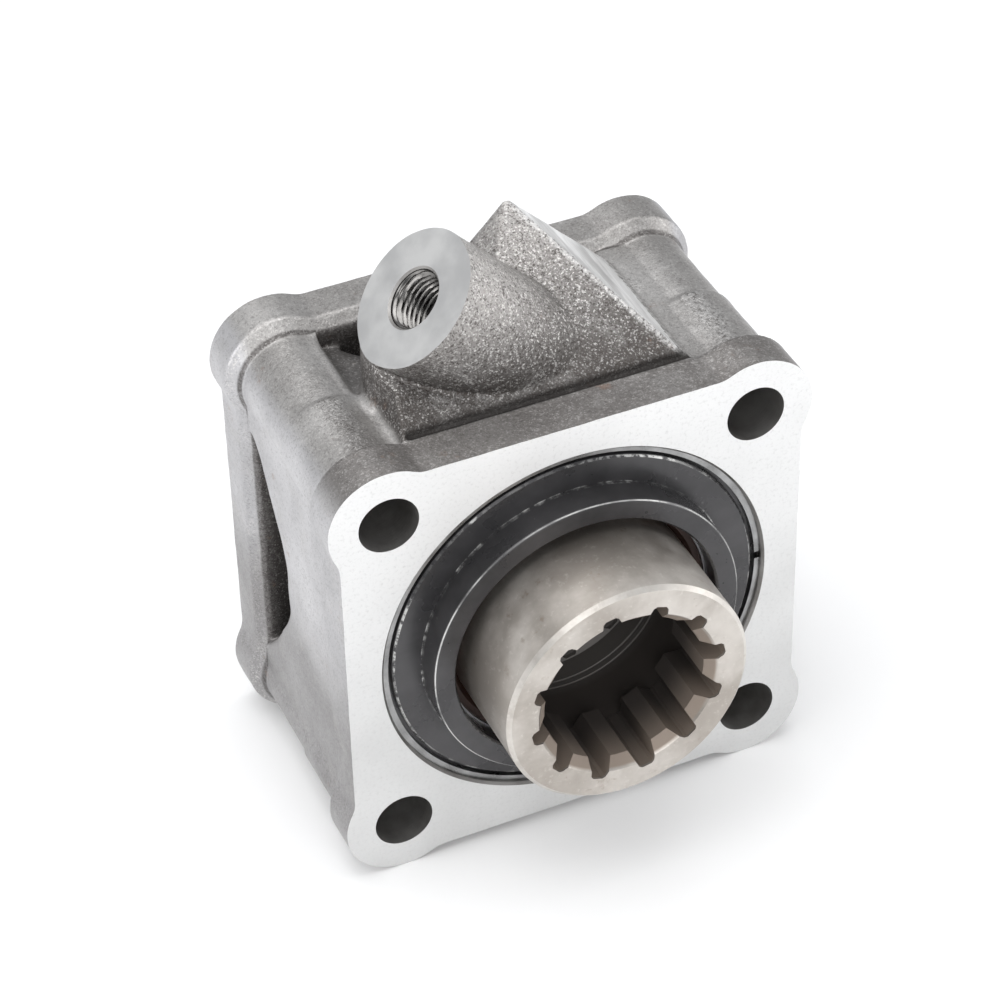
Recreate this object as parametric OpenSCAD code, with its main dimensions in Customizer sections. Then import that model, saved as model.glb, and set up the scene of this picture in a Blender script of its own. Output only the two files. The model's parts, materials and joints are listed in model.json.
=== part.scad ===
// Air shifted power take off unit: a square cast housing with a splined output hub
// in its front bore, a slanted air port on top, and a sliding sleeve that couples
// the hub to the input shaft behind it.
// The origin is on the hub axis in the machined front face. +Y runs into the
// housing, towards the gearbox, and +Z is up.

/* [Housing] */
// Width and height of the two square flanges
flange_w = 95; // [94:0.5:98]
// Distance between neighbouring mounting holes
bolt_pitch = 75; // [74:0.5:76]
// Diameter of the mounting holes
bolt_hole_d = 12; // [8:0.5:13]
// Radius of the lobe round each mounting hole
lobe_r = 12; // [11.5:0.1:13]
// Radius of the hollow blend between a lobe and the flange edge
lobe_blend_r = 6; // [4:0.5:8]
// Depth over both flanges
housing_depth = 60; // [60:0.5:66]
// Thickness of the front flange
front_flange_t = 9.3; // [8:0.1:10]
// Thickness of the rear flange at its rim
rear_flange_t = 8.2; // [7:0.1:9]
// Length of the taper in front of the rear flange
rear_taper_l = 2.6; // [2:0.1:5]
// Inset of the rear taper at its small end
rear_taper_in = 2.3; // [1:0.1:3]
// Width and height of the body between the flanges, at mid height of its walls
body_w = 94.6; // [93:0.2:95]
// Fall of each wall from its middle to its columns
body_crown = 1.1; // [0.2:0.1:2]
// Radius of the columns round the mounting holes
column_r = 9.5; // [8:0.1:9.6]
// Extra radius of the front stretch of each column
column_step = 0.5; // [0.2:0.1:0.8]
// Distance from the front face to the step in the columns
column_step_y = 28; // [24:1:34]
// Distance from the front face to the front of the side pockets
pocket_y = 31; // [28:0.5:33]
// Width of a side pocket at its front
pocket_front_w = 8; // [4:1:16]
// Radius of the tapered barrel where it meets the rear flange
barrel_rear_r = 37; // [36:0.5:40]

/* [Wedge and air port] */
// Distance from the front face to the front edge of the wedge
wedge_front_y = 9.3; // [9:0.1:11]
// Height of that edge above the hub axis
wedge_front_z = 47.8; // [47.5:0.1:49]
// Distance from the front face to the back of the wedge
wedge_rear_y = 43.1; // [42:0.1:46]
// Run over rise of the sloping front of the wedge
wedge_run = 1.57; // [1.4:0.01:1.8]
// Distance from the hub axis to the smooth upper right face
wedge_right_d = 53.5; // [51:0.5:56]
// Distance from the hub axis to the small upper left facet
wedge_left_d = 45; // [43:0.5:47]
// Distance from the hub axis to the foot of the wedge on the left
wedge_left_x = 30.5; // [29:0.5:32]
// Lean of the left side of the wedge
wedge_left_lean = 24; // [10:1:35]
// Angle of the air port from the vertical
port_angle = 45; // [43:1:47]
// Distance from the front face to the port axis
port_y = 25.6; // [25:0.1:27]
// Web between the cavity round the sleeve and the plunger bore
port_web = 0.1; // [0.1:0.1:1]
// Distance from the hub axis to the port face, along the port axis
port_face_d = 61.4; // [60:0.2:64]
// Diameter of the port boss
port_boss_d = 28; // [26:0.5:30]
// Outer diameter of the port thread
port_thread_d = 12; // [10:0.5:14]
// Length of the port thread
port_thread_l = 17; // [12:1:20]
// Width of the chamfer at the port mouth
port_chamfer = 0.4; // [0.2:0.1:1]
// Diameter of the plunger bore
plunger_bore_d = 9; // [8.6:0.1:9]
// Distance that the plunger bore runs past the hub axis
plunger_bore_past = 19; // [18:0.5:20]

/* [Front bore and rings] */
// Chamfer at the mouth of the front bore
bore_chamfer = 0.5; // [0.2:0.1:1]
// Depth of the ring face below the front face
ring_recess = 0.8; // [0.4:0.1:1.2]
// Thickness of the pilot ring behind its face
ring_t = 5.2; // [5:0.1:5.4]
// Width of the ledge outside the ring face, under the snap ring
ring_ledge = 2; // [1.8:0.1:3]
// Rim of the raised collar outside the oil seal
collar_rim = 1; // [0.8:0.1:2]
// Gap between the hub and the raised collar
collar_gap = 2.5; // [1:0.1:3.5]
// Height of the collar above the front face
collar_h = 5.3; // [3:0.1:7]
// Thickness of the snap ring in front of the pilot ring
snap_t = 1.3; // [1:0.1:1.4]
// Width of that snap ring inside the bore
snap_in = 1.2; // [1:0.1:1.6]
// Depth of the snap ring groove in the bore wall
snap_groove = 1.2; // [0.8:0.1:1.6]
// Angles from the right, upwards, at which the snap ring's gap starts and ends
snap_gap_from = 0.6; // [0:0.2:1.4]
snap_gap_to = 3; // [2:0.2:20]
// Height of the oil seal's section, from the hub outwards
seal_section = 6; // [5.5:0.1:6]
// Length of the oil seal along the hub
seal_h = 4.6; // [4.4:0.1:4.6]
// Thickness of the section of the pilot ring's O-ring
ring_o_t = 1.6; // [1.4:0.1:1.7]

/* [Output hub] */
// Outer diameter of the hub
hub_d = 50; // [50:0.1:50.5]
// Distance that the hub stands out of the front face
hub_out = 23; // [18:0.5:28]
// Chamfer at the outer edge of the hub
hub_chamfer = 0.8; // [0.6:0.1:2]
// Number of internal spline grooves
spline_n = 12; // [10:1:14]
// Wall of the hub outside the roots of its internal spline
hub_wall = 4.7; // [4.4:0.1:5.4]
// Depth of the internal spline's grooves
spline_depth = 3.7; // [3.3:0.1:4]
// Width of a spline groove at its mouth
groove_mouth_w = 5.2; // [4.6:0.1:5.6]
// Width of a spline groove at its root
groove_root_w = 3; // [2.4:0.1:3.4]
// Depth of the lead-in chamfer of the spline
spline_lead = 2.1; // [1:0.1:3]
// Angle of the first groove above the right hand side
spline_phase = 11; // [0:1:29]
// Length of the internal spline from the hub's nose
spline_l = 35; // [25:1:36]
// Rise of the shoulder behind the front bearing
shoulder_rise = 2.5; // [2:0.1:2.5]
// Thickness of that shoulder
shoulder_t = 2.5; // [2:0.1:3]

/* [Clutch] */
// Number of clutch teeth on the hub, the sleeve and the input shaft
clutch_n = 12; // [10:2:14]
// Diameter over the tips of the clutch teeth
clutch_tip_d = 40; // [39:0.1:40]
// Height of a clutch tooth
clutch_tooth_h = 3; // [2.8:0.1:3.4]
// Width of a clutch tooth
clutch_tooth_w = 4.4; // [4:0.1:4.8]
// Length of the clutch teeth on the input shaft
input_teeth_l = 5.7; // [5:0.1:6.5]
// Axial gap between the hub and the input shaft
clutch_gap = 1; // [0.6:0.1:1.4]
// Wall of the shift sleeve outside the clutch teeth
sleeve_wall = 6.5; // [6.2:0.1:6.6]
// Gap between the shift sleeve and the cavity round it
cavity_gap = 1.3; // [1:0.1:1.4]
// Gap between the engaged sleeve and the rear bearing
sleeve_stop = 1.6; // [1.5:0.1:2.4]
// Gap between the hub's shoulder and the sleeve when it is disengaged
sleeve_gap = 0.6; // [0.4:0.1:1]
// Travel of the sleeve, the shoe and the plunger
shift_travel = 5.5; // [5:0.1:5.5]
// Width of the shoe's groove in the sleeve
shoe_groove_w = 4.2; // [4:0.1:4.6]
// Depth of the shoe's groove
shoe_groove_t = 2.2; // [1.6:0.1:2.6]
// Width of the shift shoe across the sleeve
shoe_span = 14; // [10:1:16]
// Diameter of the shoe's pin
shoe_pin_d = 3; // [2.6:0.1:3.2]
// Length of the plunger
plunger_l = 29; // [26:0.5:32]
// Distance from the shoe's pin to the inner end of the plunger
plunger_foot = 5; // [4.5:0.1:5.5]
// Thickness of the section of the plunger's O-ring
plunger_o_t = 1.5; // [1.2:0.1:1.6]
// Thickness of the plunger spring's wire
spring_wire = 0.9; // [0.7:0.05:1]
// Number of turns of the plunger spring
spring_turns = 5; // [4:1:6]

/* [Bearings] */
// Height of the front bearing's section, from the hub outwards
front_brg_section = 15; // [15:0.1:15.5]
// Distance from the front face to the back of the front bearing
front_brg_rear_y = 16; // [16:0.1:16.4]
// Width of the front bearing
front_brg_w = 10; // [9.8:0.1:10]
// Diameter of the front bearing's balls
front_ball_d = 7; // [6:0.1:7.2]
// Number of balls in the front bearing
front_ball_n = 18; // [14:1:19]
// Bore of the rear bearing
rear_brg_bore_d = 35; // [34:0.5:36]
// Height of the rear bearing's section, from the shaft outwards
rear_brg_section = 13.5; // [13:0.1:14]
// Width of the rear bearing
rear_brg_w = 14; // [13:0.5:14]
// Diameter of the rear bearing's balls
rear_ball_d = 7.9; // [7:0.1:8.1]
// Number of balls in the rear bearing
rear_ball_n = 11; // [9:1:12]
// Distance from the rear face to the rear bearing
rear_brg_inset = 2; // [1.8:0.1:2.4]
// Thickness of the circlips and of the rear snap ring
clip_t = 1.2; // [1:0.1:1.3]
// Depth of a circlip groove
clip_groove = 1; // [0.6:0.1:1.2]
// Height of a circlip above its groove floor
clip_h = 3; // [2.4:0.1:3.2]

/* [Input shaft] */
// Number of grooves in the input socket
input_n = 10; // [8:1:12]
// Wall of the input shaft outside the roots of its socket
input_wall = 4; // [3.8:0.1:4.6]
// Depth of the input socket's grooves
input_groove_t = 1.8; // [1.4:0.1:2.2]
// Width of an input spline groove
input_groove_w = 3.6; // [3:0.1:4]
// Depth of the input socket
input_socket_l = 15; // [10:0.5:16]
// Diameter of the nose that runs in the hub
nose_d = 16; // [14:0.5:17]
// Length of the nose
nose_l = 12; // [10:0.5:12.5]
// Wall of the bush between the nose and the hub
bush_wall = 2; // [1.5:0.1:2.2]

/* [Hidden] */

// Radial clearance of seats and running fits
fit = 0.02;
// Clearance of sliding and loose pieces
slack = 0.15;
// Clearance of a ring or clip in its groove
groove_slack = 0.1;
// Overshoot of every cut
over = 1;
// Reach of the blocks that trim other shapes
far = 2 * flange_w;
// Small bevel on the edges of turned pieces
edge = 0.4;
// Depth of the snap ring behind the ring face
snap_sink = 0.25;
// Distance from the oil seal to the back of the pilot ring
seal_back = 1.6;
// Thickness of the seal's sheet and of its rubber web
seal_sheet = 1;
// Distance from the pilot ring's step to its O-ring groove
ring_o_at = 0.8;
// Angle of the gap in a circlip
clip_gap = 20;
// Distance from the plunger's outer end to its O-ring
plunger_o_at = 2.5;
// Reach of the shoe's pin past the port axis
pin_reach = 0.8;
// Height of the guide slot's cut into the cavity wall
guide_bite = 1.5;
// Overlap of the wedge and of the boss's foot with what they stand on
core = 4;
// Roots of the side plates and of the wedge in the barrel, as shares of its radius
cheek_share = 0.7;
root_share = 0.72;
// Steps of the spring's wire in one turn and round its section
spring_turn_steps = 16;
spring_sides = 8;
// Small step between the rear flange's rim and its taper
rim_step = 0.2;
// Height at which the taper's hollow blends stop above its flats
blend_gap = 0.06;
$fn = 96;

bore_d = hub_d + 2 * front_brg_section;
seal_d = hub_d + 2 * seal_section;
collar_d = seal_d + 2 * collar_rim;
collar_bore_d = hub_d + 2 * collar_gap;
ring_face_d = bore_d - 2 * ring_ledge;
snap_d = bore_d - 2 * snap_in;
spline_root_d = hub_d - 2 * hub_wall;
spline_tip_d = spline_root_d - 2 * spline_depth;
shoulder_d = hub_d + 2 * shoulder_rise;
clutch_root_d = clutch_tip_d - 2 * clutch_tooth_h;
sleeve_d = clutch_tip_d + 2 * sleeve_wall;
rear_brg_d = rear_brg_bore_d + 2 * rear_brg_section;
input_root_d = rear_brg_bore_d - 2 * input_wall;
input_tip_d = input_root_d - 2 * input_groove_t;

half_flange = flange_w / 2;
half_body = body_w / 2;
half_pitch = bolt_pitch / 2;
blend_rise = half_flange + lobe_blend_r - half_pitch;
blend_run = sqrt(pow(lobe_r + lobe_blend_r, 2) - pow(blend_rise, 2));
blend_share = lobe_r / (lobe_r + lobe_blend_r);
rear_rim_y = housing_depth - rear_flange_t;
rear_neck_y = rear_rim_y - rear_taper_l;
taper_slope = (rear_taper_in - rim_step) / rear_taper_l;

front_brg_y = front_brg_rear_y - front_brg_w;
ring_rear_y = ring_recess + ring_t;
rear_brg_rear_y = housing_depth - rear_brg_inset;
rear_brg_y = rear_brg_rear_y - rear_brg_w;
snap_y = ring_recess + snap_sink;
ring_step_y = snap_y + snap_t + slack;
ring_od = bore_d - 4 * slack;
seal_y = ring_rear_y - seal_back - seal_h;
lip_r = hub_d / 2 + 2 * fit;
lip_head_t = 0.35 * seal_section;
lip_l = seal_h - 1.4 * seal_sheet;
lip_root_y = seal_y + seal_sheet;
garter_t = 0.15 * seal_section;

sleeve_r = sleeve_d / 2;
sleeve_y = front_brg_rear_y + shoulder_t + sleeve_gap;
shoe_y = port_y - shift_travel / 2;
cavity_r = sleeve_r + cavity_gap;
port_axis_d = cavity_r + plunger_bore_d / 2 + port_web;
sleeve_l = rear_brg_y - sleeve_stop - shift_travel - sleeve_y;
clutch_y = rear_brg_y - input_teeth_l;
hub_rear_y = clutch_y - clutch_gap;
plunger_r = plunger_bore_d / 2 - 2 * fit;
front_brg_mid = (front_brg_y + front_brg_rear_y) / 2;
rear_brg_mid = (rear_brg_y + rear_brg_rear_y) / 2;
spring_r = plunger_bore_d / 2 - 2 * slack - spring_wire / 2;
spring_from = -plunger_bore_past + spring_wire / 2 + groove_slack / 2;
spring_to = -plunger_foot - spring_wire / 2 - groove_slack / 2;
spring_steps = spring_turn_steps * spring_turns;

// Half of the gap between the balls and the two races' lands
function race_step(ball_d) = ball_d * 0.33;
function front_pitch_r() = (hub_d + bore_d) / 4;
function rear_pitch_r() = (rear_brg_bore_d + rear_brg_d) / 4;
function front_race_land(inner) =
    front_pitch_r() + (inner ? -1 : 1) * race_step(front_ball_d);

// Solid of revolution about the hub axis, from [radius, y] points
module turned(points) rotate([-90, 0, 0]) rotate_extrude() polygon(points);

// Plain tube about the hub axis
module tube(r_in, r_out, y0, y1)
    turned([[r_in, y0], [r_out, y0], [r_out, y1], [r_in, y1]]);

// Solid disc or hole about the hub axis
module disc(r, y0, y1) translate([0, y0, 0]) rotate([-90, 0, 0]) cylinder(r = r, h = y1 - y0);

// An outline in X and Z, drawn out along Y
module along_y(y0, y1)
    translate([0, y1, 0]) rotate([90, 0, 0]) linear_extrude(y1 - y0) children();

// The frame of the air port: local Z runs out through the port, local X away from
// the hub axis, and its origin is the point of the port axis nearest the hub axis
module at_port() rotate([0, -port_angle, 0]) translate([port_axis_d, port_y, 0]) children();

module four_corners() for (x = [-half_pitch, half_pitch], z = [-half_pitch, half_pitch])
    translate([x, z]) children();

// Keep a shape on the right (1) or mirror it to the left (-1)
module on_side(side) if (side > 0) children(); else mirror([1, 0, 0]) children();

// Place a shape at the eight blends between the lobes and the flange edges
module eight_blends() for (turn = [0:90:270], side = [-1, 1]) rotate(turn) on_side(side) children();

// Stretch between a lobe and the flange edge, before its hollow is cut
module blend_fill() polygon([[half_pitch - blend_run, half_flange - lobe_r / 2],
    [half_pitch - blend_run, half_flange],
    [half_pitch - blend_run * blend_share, half_pitch + blend_rise * blend_share],
    [half_pitch, half_flange - lobe_r / 2]]);

// Flange outline: a square with a lobe at each corner and hollow blends between
module flange_outline() difference() {
    union() {
        square([flange_w, bolt_pitch], center = true);
        square([bolt_pitch, flange_w], center = true);
        four_corners() circle(lobe_r);
        eight_blends() blend_fill();
    }
    eight_blends() translate([half_pitch - blend_run, half_flange + lobe_blend_r])
        circle(lobe_blend_r);
}

// Outline of one wall, which stands highest in the middle
module wall_outline() polygon([[0, -half_pitch], [half_body - body_crown, -half_pitch],
    [half_body, 0], [half_body - body_crown, half_pitch], [0, half_pitch]]);

// One of the plates that close a side pocket towards its two columns
module pocket_cheek() intersection() {
    translate([barrel_rear_r * cheek_share, 0, 0]) rotate([90, 0, 90]) linear_extrude(half_body)
        polygon([[pocket_y - 1, pocket_front_w / 2], [pocket_y, pocket_front_w / 2],
            [rear_neck_y, half_pitch - column_r], [rear_neck_y, half_pitch],
            [pocket_y - 1, half_pitch]]);
    along_y(pocket_y - 2, rear_neck_y + 1) wall_outline();
}

// Body between the flanges: square in front, then a tapered barrel between columns
module cast_body() {
    along_y(front_flange_t - 1, pocket_y) for (turn = [0:90:270]) rotate(turn) wall_outline();
    turned([[0, pocket_y - 1], [half_body, pocket_y - 1], [half_body, pocket_y],
        [barrel_rear_r, rear_rim_y], [0, rear_rim_y]]);
    along_y(front_flange_t - 1, column_step_y) four_corners() circle(column_r + column_step);
    along_y(column_step_y - 1, rear_rim_y) four_corners() circle(column_r);
    for (turn = [0:90:270], side = [0, 1])
        rotate([0, turn, 0]) mirror([0, 0, side]) pocket_cheek();
}

// Taper that narrows the rear flange towards the columns, the same way all round
module rear_taper() difference() {
    union() {
        for (turn = [0:90:270]) rotate([0, turn, 0]) translate([0, 0, -half_pitch])
            linear_extrude(bolt_pitch)
                polygon([[0, rear_neck_y], [half_flange - rear_taper_in, rear_neck_y],
                    [half_flange - rim_step, rear_rim_y], [0, rear_rim_y]]);
        for (x = [-half_pitch, half_pitch], z = [-half_pitch, half_pitch])
            translate([x, rear_neck_y, z]) rotate([-90, 0, 0])
                cylinder(r1 = lobe_r - rear_taper_in, r2 = lobe_r - rim_step, h = rear_taper_l);
        along_y(rear_neck_y, rear_rim_y) eight_blends() blend_fill();
    }
    for (turn = [0:90:270], side = [-1, 1]) rotate([0, turn, 0]) on_side(side)
        translate([half_pitch - blend_run, rear_neck_y - over, half_flange + lobe_blend_r])
            rotate([-90, 0, 0]) cylinder(
                r1 = lobe_blend_r + rear_taper_in - blend_gap + taper_slope * over,
                r2 = lobe_blend_r + rim_step - blend_gap - taper_slope * over,
                h = rear_taper_l + 2 * over);
}

module rear_flange() {
    along_y(rear_rim_y, housing_depth) flange_outline();
    rear_taper();
}

// Everything behind the sloping plane at the front of the wedge
module behind_slope()
    translate([0, wedge_front_y, wedge_front_z])
        rotate([-atan(wedge_run), 0, 0]) translate([-far / 2, 0, -far / 2]) cube([far, far, far]);

// Wedge on the housing top: sloping front, smooth right face, small left facet
module wedge() {
    root = barrel_rear_r * root_share;
    right_sum = wedge_right_d * sqrt(2);
    left_sum = wedge_left_d * sqrt(2);
    apex = [(right_sum - left_sum) / 2, (right_sum + left_sum) / 2];
    foot = right_sum - half_body;
    neck = port_axis_d * sqrt(2) + (port_boss_d / 2) * sqrt(2);
    intersection() {
        along_y(wedge_front_y - 1, wedge_rear_y)
            polygon([[-core, root], [foot, root], [foot, half_body], apex,
                [(neck - left_sum) / 2, (neck + left_sum) / 2], [-core, left_sum - core]]);
        behind_slope();
    }
    intersection() {
        along_y(wedge_front_y - 1, port_y)
            polygon([[-wedge_left_x, root], [0, root], [0, left_sum],
                [-wedge_left_x + (left_sum - half_body) * tan(wedge_left_lean), left_sum],
                [-wedge_left_x, half_body]]);
        behind_slope();
        rotate([0, -port_angle, 0]) translate([0, 0, -far]) cube([far, far, far + port_face_d - over]);
    }
}

// Boss of the air port, with the foot that carries it
module port_boss() {
    at_port() cylinder(d = port_boss_d, h = port_face_d);
    foot_x = (port_axis_d - port_face_d) * sin(port_angle) + core;
    intersection() {
        translate([foot_x, port_y, barrel_rear_r * root_share])
            cylinder(d = port_boss_d, h = port_face_d);
        at_port() translate([-far, -far / 2, -far]) cube([far, far, far + port_face_d]);
        behind_slope();
    }
}

// Cut the front and rear bores, the cavity between them and the ring grooves
module bores() {
    turned([[0, -over], [bore_d / 2 + bore_chamfer + over, -over],
        [bore_d / 2, bore_chamfer], [bore_d / 2, front_brg_rear_y], [0, front_brg_rear_y]]);
    tube(bore_d / 2 - 1, bore_d / 2 + snap_groove, snap_y - groove_slack / 2,
        snap_y + snap_t + groove_slack / 2);
    disc(front_race_land(false) - slack, front_brg_rear_y - over, sleeve_y);
    disc(cavity_r, sleeve_y - over, rear_brg_y + over);
    disc(rear_brg_d / 2, rear_brg_y, housing_depth + over);
    tube(rear_brg_d / 2 - 1, rear_brg_d / 2 + clip_groove,
        rear_brg_rear_y + fit, rear_brg_rear_y + clip_t + groove_slack);
}

// Cut the air port, the plunger bore and the guide slot of the shoe's pin
module port_cuts() at_port() {
    translate([0, 0, port_face_d - port_thread_l]) cylinder(d = port_thread_d, h = port_thread_l + over);
    translate([0, 0, port_face_d - port_chamfer])
        cylinder(d1 = port_thread_d, d2 = port_thread_d + 2 * (port_chamfer + over),
            h = port_chamfer + over);
    translate([0, 0, -plunger_bore_past])
        cylinder(d = plunger_bore_d, h = plunger_bore_past + port_face_d - port_thread_l + over);
    translate([cavity_r - port_axis_d - guide_bite, -shift_travel / 2 - shoe_pin_d / 2 - slack,
        -shoe_pin_d / 2 - slack])
        cube([port_axis_d - cavity_r + guide_bite, shift_travel + shoe_pin_d + 2 * slack,
            shoe_pin_d + 2 * slack]);
}

module housing() color([0.46, 0.44, 0.42]) difference() {
    union() {
        along_y(0, front_flange_t) flange_outline();
        cast_body();
        rear_flange();
        wedge();
        port_boss();
    }
    bores();
    port_cuts();
    along_y(-over, housing_depth + over) four_corners() circle(d = bolt_hole_d);
}

// Ring that closes the front bore, with the raised collar that centres the driven unit
module pilot_ring() color([0.16, 0.16, 0.17]) {
    collar_r = collar_d / 2;
    o_ring_y = ring_step_y + ring_o_at;
    difference() {
        turned([[collar_bore_d / 2, -collar_h + edge], [collar_bore_d / 2 + edge, -collar_h],
            [collar_r - edge, -collar_h], [collar_r, -collar_h + edge], [collar_r, ring_recess],
            [ring_face_d / 2 - edge, ring_recess], [ring_face_d / 2, ring_recess + edge],
            [ring_face_d / 2, ring_step_y], [ring_od / 2, ring_step_y],
            [ring_od / 2, ring_rear_y], [front_race_land(false), ring_rear_y],
            [front_race_land(false), seal_y + seal_h + groove_slack],
            [seal_d / 2 + fit, seal_y + seal_h + groove_slack],
            [seal_d / 2 + fit, seal_y], [collar_bore_d / 2, seal_y]]);
        tube(ring_od / 2 - ring_o_t + groove_slack, ring_od / 2 + over,
            o_ring_y, o_ring_y + ring_o_t + 2 * slack);
    }
}

module pilot_o_ring() color([0.07, 0.07, 0.07])
    rotate([-90, 0, 0]) rotate_extrude()
        translate([ring_od / 2 - ring_o_t / 2 + slack, ring_step_y + ring_o_at + ring_o_t / 2 + slack])
            circle(d = ring_o_t, $fn = 24);

// Flat ring cut by a gap between two angles, which count up from the right
module split_ring(r_in, r_out, y0, y1, from, to) {
    reach = 2 * r_out;
    mid = (from + to) / 2;
    difference() {
        tube(r_in, r_out, y0, y1);
        along_y(y0 - over, y1 + over)
            polygon([[0, 0], reach * [cos(from), sin(from)], reach * 1.2 * [cos(mid), sin(mid)],
                reach * [cos(to), sin(to)]]);
    }
}

module snap_ring() color([0.62, 0.62, 0.62])
    split_ring(snap_d / 2, bore_d / 2 + snap_groove - groove_slack, snap_y, snap_y + snap_t,
        snap_gap_from, snap_gap_to);

module oil_seal_case() color([0.5, 0.5, 0.5]) {
    r = seal_d / 2;
    hole_r = collar_bore_d / 2 - 2 * slack;
    turned([[hole_r, seal_y], [r, seal_y], [r, seal_y + seal_h], [r - seal_sheet, seal_y + seal_h],
        [r - seal_sheet, lip_root_y], [hole_r, lip_root_y]]);
}

// Rubber lip, bonded behind the case's flange and bearing on the hub
module oil_seal_lip() color([0.3, 0.13, 0.08]) {
    outer_r = seal_d / 2 - seal_sheet;
    web_y = lip_root_y + seal_sheet;
    back_y = lip_root_y + lip_l;
    turned([[lip_r, lip_root_y + lip_l * 0.47], [lip_r + lip_head_t * 0.43, lip_root_y],
        [outer_r, lip_root_y], [outer_r, web_y], [lip_r + lip_head_t + 2 * slack, web_y],
        [lip_r + lip_head_t, back_y], [lip_r + lip_head_t / 3, back_y],
        [lip_r, lip_root_y + lip_l * 0.56]]);
}

module seal_garter_spring() color([0.6, 0.6, 0.6]) rotate([-90, 0, 0]) rotate_extrude()
    translate([lip_r + lip_head_t + 2 * slack + garter_t / 2, lip_root_y + lip_l * 0.66])
        circle(d = garter_t, $fn = 24);

// Spline socket outline: a round hole with tapering grooves
module spline_hole(n, tip_r, root_r, mouth_w, root_w) {
    corner = 0.5;
    circle(tip_r);
    for (i = [0:n - 1]) rotate(i * 360 / n)
        polygon([[tip_r * 0.8, -mouth_w / 2], [tip_r * 0.97, -mouth_w / 2],
            [root_r - corner, -root_w / 2 - 0.1], [root_r, -root_w / 2 + corner],
            [root_r, root_w / 2 - corner], [root_r - corner, root_w / 2 + 0.1],
            [tip_r * 0.97, mouth_w / 2], [tip_r * 0.8, mouth_w / 2]]);
}

// Outline of the clutch teeth, grown by a clearance for the hole that takes them
module clutch_outline(gap = 0) {
    circle(clutch_root_d / 2 + gap);
    intersection() {
        circle(clutch_tip_d / 2 + gap);
        for (i = [0:clutch_n - 1]) rotate(i * 360 / clutch_n)
            translate([0, -clutch_tooth_w / 2 - gap])
                square([clutch_tip_d, clutch_tooth_w + 2 * gap]);
    }
}

module output_hub() color([0.55, 0.52, 0.49]) {
    r = hub_d / 2;
    lead_r = spline_tip_d / 2 + spline_lead;
    bush_r = nose_d / 2 + bush_wall + fit;
    shoulder_y = front_brg_rear_y + shoulder_t;
    difference() {
        union() {
            turned([[0, -hub_out], [r - hub_chamfer, -hub_out], [r, -hub_out + hub_chamfer],
                [r, front_brg_rear_y], [shoulder_d / 2, front_brg_rear_y],
                [shoulder_d / 2, shoulder_y], [0, shoulder_y]]);
            along_y(shoulder_y - 1, hub_rear_y) clutch_outline();
        }
        along_y(-hub_out - over, -hub_out + spline_l) rotate(spline_phase)
            spline_hole(spline_n, spline_tip_d / 2, spline_root_d / 2, groove_mouth_w, groove_root_w);
        turned([[0, -hub_out - over], [lead_r + over, -hub_out - over],
            [lead_r - spline_lead, -hub_out + spline_lead], [0, -hub_out + spline_lead]]);
        tube(r - clip_groove, r + over, front_brg_y - clip_t - groove_slack, front_brg_y - fit);
        disc(bush_r, clutch_y - nose_l - over, hub_rear_y + over);
    }
}

module hub_circlip() color([0.3, 0.3, 0.3])
    split_ring(hub_d / 2 - clip_groove + fit, hub_d / 2 - clip_groove + clip_h,
        front_brg_y - clip_t - groove_slack / 2, front_brg_y - groove_slack / 2,
        90 - clip_gap / 2, 90 + clip_gap / 2);

// The four kinds of piece in a ball bearing
module inner_race(bore_r, pitch_r, ball_d, y0, y1) difference() {
    tube(bore_r + fit, pitch_r - race_step(ball_d), y0, y1);
    ball_track(pitch_r, ball_d, (y0 + y1) / 2);
}

module outer_race(outer_r, pitch_r, ball_d, y0, y1) difference() {
    tube(pitch_r + race_step(ball_d), outer_r - fit, y0, y1);
    ball_track(pitch_r, ball_d, (y0 + y1) / 2);
}

module ball_track(pitch_r, ball_d, y) rotate([-90, 0, 0]) rotate_extrude()
    translate([pitch_r, y]) circle(ball_d / 2 + 2 * fit, $fn = 48);

module ball_ring(pitch_r, ball_d, n, y)
    for (i = [0:n - 1]) rotate([0, i * 360 / n, 0])
        translate([pitch_r, y, 0]) sphere(ball_d / 2, $fn = 24);

module cage(pitch_r, ball_d, n, y, w) difference() {
    tube(pitch_r - ball_d * 0.2, pitch_r + ball_d * 0.2, y - w / 2, y + w / 2);
    for (i = [0:n - 1]) rotate([0, i * 360 / n, 0])
        translate([pitch_r - ball_d / 2, y, 0]) rotate([0, 90, 0])
            cylinder(d = ball_d + 2 * groove_slack, h = ball_d);
}

module front_bearing_outer_race() color([0.7, 0.7, 0.7])
    outer_race(bore_d / 2, front_pitch_r(), front_ball_d, front_brg_y, front_brg_rear_y);

module front_bearing_inner_race() color([0.7, 0.7, 0.7])
    inner_race(hub_d / 2, front_pitch_r(), front_ball_d, front_brg_y, front_brg_rear_y);

module front_bearing_balls() color([0.75, 0.75, 0.75])
    ball_ring(front_pitch_r(), front_ball_d, front_ball_n, front_brg_mid);

module front_bearing_cage() color([0.6, 0.5, 0.3])
    cage(front_pitch_r(), front_ball_d, front_ball_n, front_brg_mid, front_ball_d * 1.25);

module rear_bearing_outer_race() color([0.7, 0.7, 0.7])
    outer_race(rear_brg_d / 2, rear_pitch_r(), rear_ball_d, rear_brg_y, rear_brg_rear_y);

module rear_bearing_inner_race() color([0.7, 0.7, 0.7])
    inner_race(rear_brg_bore_d / 2, rear_pitch_r(), rear_ball_d, rear_brg_y, rear_brg_rear_y);

module rear_bearing_balls() color([0.75, 0.75, 0.75])
    ball_ring(rear_pitch_r(), rear_ball_d, rear_ball_n, rear_brg_mid);

module rear_bearing_cage() color([0.6, 0.5, 0.3])
    cage(rear_pitch_r(), rear_ball_d, rear_ball_n, rear_brg_mid, rear_ball_d * 1.25);

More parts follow.
